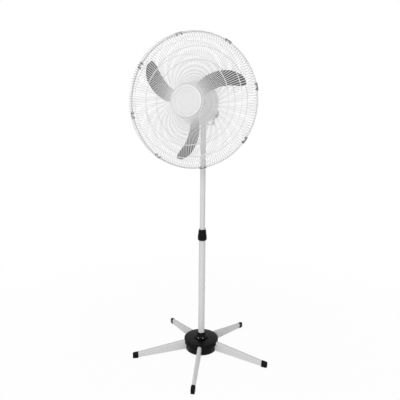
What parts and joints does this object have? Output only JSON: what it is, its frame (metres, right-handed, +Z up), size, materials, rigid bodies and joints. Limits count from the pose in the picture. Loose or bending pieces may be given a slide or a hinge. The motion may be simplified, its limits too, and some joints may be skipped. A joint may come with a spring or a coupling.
{
  "type": "pedestal fan",
  "caption": "Free-standing pedestal fan: round wire guard with a three-blade propeller, tilting and oscillating head, telescoping column and star base.",
  "frame": {"origin": "floor point under the middle of the fan's outer box; the column's axis stands at x = -20.0 mm, y = 11.0 mm", "axes": "+Z up along the column; the fan blows towards -Y; +X is on the right of someone who looks at its front"},
  "size_m": [0.6496, 0.6592, 1.5103],
  "materials": {
    "white_paint": "satin white paint",
    "guard_wire": "white powder-coated wire",
    "black_plastic": "glossy black",
    "clip_plastic": "dark grey",
    "blade_plastic": "satin grey",
    "white_plastic": "white",
    "motor_paint": "satin light grey",
    "cast_alloy": "as cast",
    "steel": "zinc plated",
    "lamination": "dark varnished lamination",
    "brass": "plain"
  },
  "bodies": {
    "stand": {"hub_drum": "black_plastic", "hub_lid": "black_plastic", "column_socket": "black_plastic", "leg_1": "white_paint", "leg_2": "white_paint", "leg_3": "white_paint", "leg_4": "white_paint", "leg_5": "white_paint", "foot_cap_1": "black_plastic", "foot_cap_2": "black_plastic", "foot_cap_3": "black_plastic", "foot_cap_4": "black_plastic", "foot_cap_5": "black_plastic", "socket_screw_1": "steel", "socket_screw_2": "steel", "lower_tube": "white_paint", "collar_bush": "white_plastic"},
    "collar": {"height_collar": "black_plastic"},
    "mast": {"upper_tube": "white_paint", "tube_glide": "black_plastic", "neck_yoke": "motor_paint"},
    "tilt_head": {"tilt_block": "cast_alloy", "tilt_pin": "steel", "tilt_bolt": "steel"},
    "tilt_lever": {"tilt_knob": "black_plastic"},
    "fan_head": {"oscillation_pin": "steel", "pin_retainer": "steel", "gearbox_case": "cast_alloy", "gearbox_lid": "cast_alloy", "rear_hood": "motor_paint", "speed_switch": "black_plastic", "cord_bush": "black_plastic", "capacitor": "white_plastic", "motor_front_plate": "motor_paint", "motor_rear_plate": "cast_alloy", "motor_housing": "motor_paint", "stator": "lamination", "front_bearing": "brass", "rear_bearing": "brass", "rear_guard": "guard_wire", "front_guard": "guard_wire", "guard_clip_1": "clip_plastic", "guard_clip_2": "clip_plastic", "guard_clip_3": "clip_plastic", "guard_clip_4": "clip_plastic", "guard_clip_5": "clip_plastic", "guard_clip_6": "clip_plastic", "guard_clip_7": "clip_plastic", "guard_clip_8": "clip_plastic", "badge": "white_plastic"},
    "rotating_group": {"motor_shaft": "steel", "rotor": "cast_alloy", "propeller": "blade_plastic", "propeller_nut": "black_plastic"},
    "clutch_shaft": {"worm_wheel": "brass"},
    "crank": {"crank_gear": "steel"},
    "link": {"link_rod": "steel"},
    "clutch_pull_knob": {"clutch_knob": "black_plastic"},
    "speed_control": {"speed_knob": "black_plastic"}
  },
  "joints": [
    {"name": "collar_turn", "type": "hinge", "parent": "stand", "child": "collar", "pos_m": [-0.02001, 0.01096, 0.614], "axis": [0, 0, 1], "range_deg": [0, 270]},
    {"name": "column_height", "type": "slide", "parent": "stand", "child": "mast", "axis": [0, 0, 1], "range_m": [-0.38, 0.04]},
    {"name": "tilt", "type": "hinge", "parent": "mast", "child": "tilt_head", "pos_m": [-0.02001, 0.01096, 1.18], "axis": [1, 0, 0], "range_deg": [-25, 15]},
    {"name": "tilt_lever_turn", "type": "hinge", "parent": "tilt_head", "child": "tilt_lever", "pos_m": [-0.02001, 0.01096, 1.18], "axis": [1, 0, 0], "range_deg": [0, 180]},
    {"name": "oscillation", "type": "hinge", "parent": "tilt_head", "child": "fan_head", "pos_m": [-0.02001, 0.01096, 1.19], "axis": [0, 0, 1], "range_deg": [-40, 40]},
    {"name": "link_swing", "type": "hinge", "parent": "tilt_head", "child": "link", "pos_m": [-0.04201, 0.01096, 1.19], "axis": [0, 0, 1], "range_deg": [-20, 20]},
    {"name": "propeller_spin", "type": "hinge", "parent": "fan_head", "child": "rotating_group", "pos_m": [-0.02001, -0.16104, 1.23], "axis": [0, 1, 0], "continuous": true},
    {"name": "worm_wheel_turn", "type": "hinge", "parent": "fan_head", "child": "clutch_shaft", "pos_m": [-0.00221, 0.03696, 1.23], "axis": [0, 0, 1], "continuous": true},
    {"name": "crank_turn", "type": "hinge", "parent": "fan_head", "child": "crank", "pos_m": [-0.02001, 0.04608, 1.205], "axis": [0, 0, 1], "continuous": true},
    {"name": "clutch_pull", "type": "slide", "parent": "fan_head", "child": "clutch_pull_knob", "axis": [0, 0, 1], "range_m": [0, 0.008]},
    {"name": "speed_turn", "type": "hinge", "parent": "fan_head", "child": "speed_control", "pos_m": [-0.02001, 0.09496, 1.237], "axis": [0, 1, 0], "range_deg": [0, 135]}
  ],
  "couplings": [
    {"joint": "worm_wheel_turn", "follows": "propeller_spin", "ratio": 0.025},
    {"joint": "crank_turn", "follows": "propeller_spin", "ratio": -0.007833},
    {"joint": "link_swing", "follows": "oscillation", "ratio": 0.5}
  ]
}
